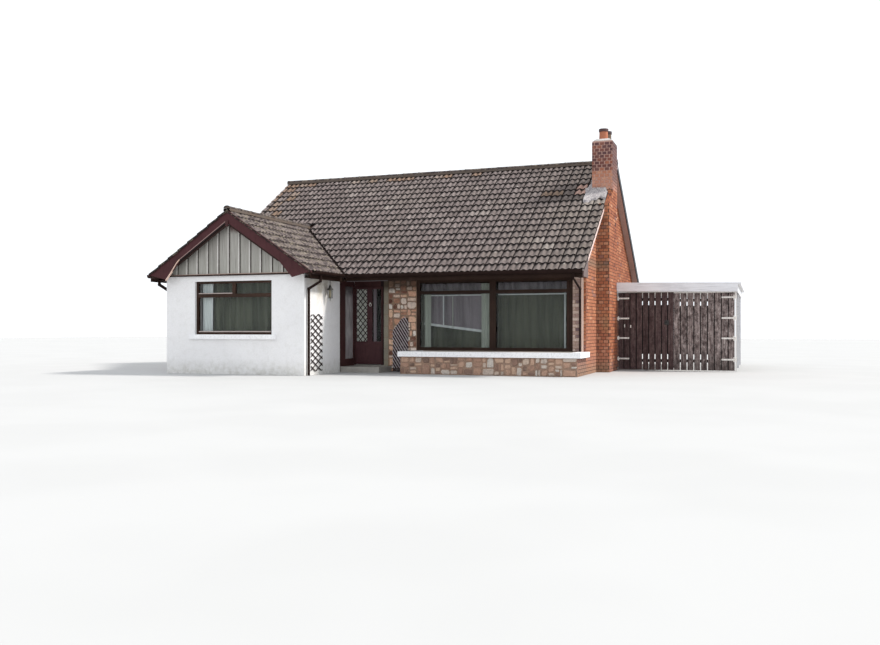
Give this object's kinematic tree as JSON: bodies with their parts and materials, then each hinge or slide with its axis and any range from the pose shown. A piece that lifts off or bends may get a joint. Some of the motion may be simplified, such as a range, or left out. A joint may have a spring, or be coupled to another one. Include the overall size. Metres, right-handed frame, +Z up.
{
  "type": "bungalow",
  "caption": "Single-storey house with a gabled front wing, deep eaves over picture windows, an outside chimney and a flat-roofed carport behind double gates.",
  "frame": {"origin": "centre of the bounding box's base, on the ground", "axes": "+X to the viewer's right along the ridge, +Y from the front of the house to its rear, +Z up"},
  "size_m": [12.537, 10.479, 5.73],
  "materials": {
    "brick": "wire-cut orange-brown brick with pale mortar",
    "white_render": "rough-cast render painted white",
    "grey_boards": "weathered vertical boards",
    "random_stone": "random rubble facing",
    "render_grey": "painted render",
    "concrete": "trowelled",
    "white_paint": "painted white",
    "roof_tiles": "interlocking concrete tiles, weathered",
    "ridge_tiles": "half-round ridge tiles, weathered",
    "maroon_timber": "dark maroon gloss paint",
    "door_timber": "dark maroon gloss paint",
    "dark_timber": "dark stain",
    "cream_timber": "cream paint",
    "white_timber": "white paint, weathered",
    "dark_gutter": "satin",
    "brown_frames": "dark brown stain",
    "glass": "clear",
    "mortar": "pale mortar",
    "terracotta": "unglazed clay",
    "roof_felt": "mineral felt",
    "gate_boards": "weathered softwood",
    "gate_boards_dark": "weathered dark stain",
    "white_iron": "white paint",
    "black_iron": "black paint",
    "trellis_timber": "weathered"
  },
  "bodies": {
    "root": {"floor_slab": "concrete", "right_gable_wall": "brick", "left_gable_wall": "brick", "rear_wall": "brick", "wing_front_wall": "white_render", "wing_cladding": "grey_boards", "wing_left_wall": "white_render", "wing_right_wall": "white_render", "stone_facings": "random_stone", "front_wall": "render_grey", "planter_front_wall": "random_stone", "planter_end_walls": "brick", "planter_coping": "white_paint", "main_roof_front": "roof_tiles", "main_roof_rear": "roof_tiles", "wing_roof": "roof_tiles", "ridge_tiles": "ridge_tiles", "wing_barge_boards": "maroon_timber", "verge_boards": "cream_timber", "fascia_boards": "maroon_timber", "gutters": "dark_gutter", "downpipes": "dark_gutter", "soffits": "dark_timber", "window_frames": "brown_frames", "window_glass": "glass", "window_cills": "white_paint", "entrance_frame": "maroon_timber", "rear_door": "maroon_timber", "chimney_breast": "brick", "chimney_stack": "brick", "chimney_flaunching": "mortar", "chimney_pots": "terracotta", "chimney_flashing": "mortar", "carport_roof": "roof_felt", "carport_fascia": "white_timber", "carport_posts": "white_timber", "gate_posts": "white_timber", "gate_pins": "white_iron", "lantern": "black_iron", "trellises": "trellis_timber"},
    "door": {"front_door": "door_timber", "front_door_glass": "glass"},
    "gate_l": {"gate_left": "gate_boards_dark", "gate_left_hinges": "white_iron"},
    "gate_r": {"gate_right": "gate_boards", "gate_right_hinges": "white_iron"}
  },
  "joints": [
    {"name": "front_door", "type": "hinge", "parent": "root", "child": "door", "pos_m": [-2.374, -2.477, 1], "axis": [0, 0, 1], "range_deg": [0, 90]},
    {"name": "gate_left", "type": "hinge", "parent": "root", "child": "gate_l", "pos_m": [3.4275, -0.032, 1], "axis": [0, 0, 1], "range_deg": [-90, 0]},
    {"name": "gate_right", "type": "hinge", "parent": "root", "child": "gate_r", "pos_m": [6.1205, -0.032, 1], "axis": [0, 0, 1], "range_deg": [0, 90]}
  ]
}
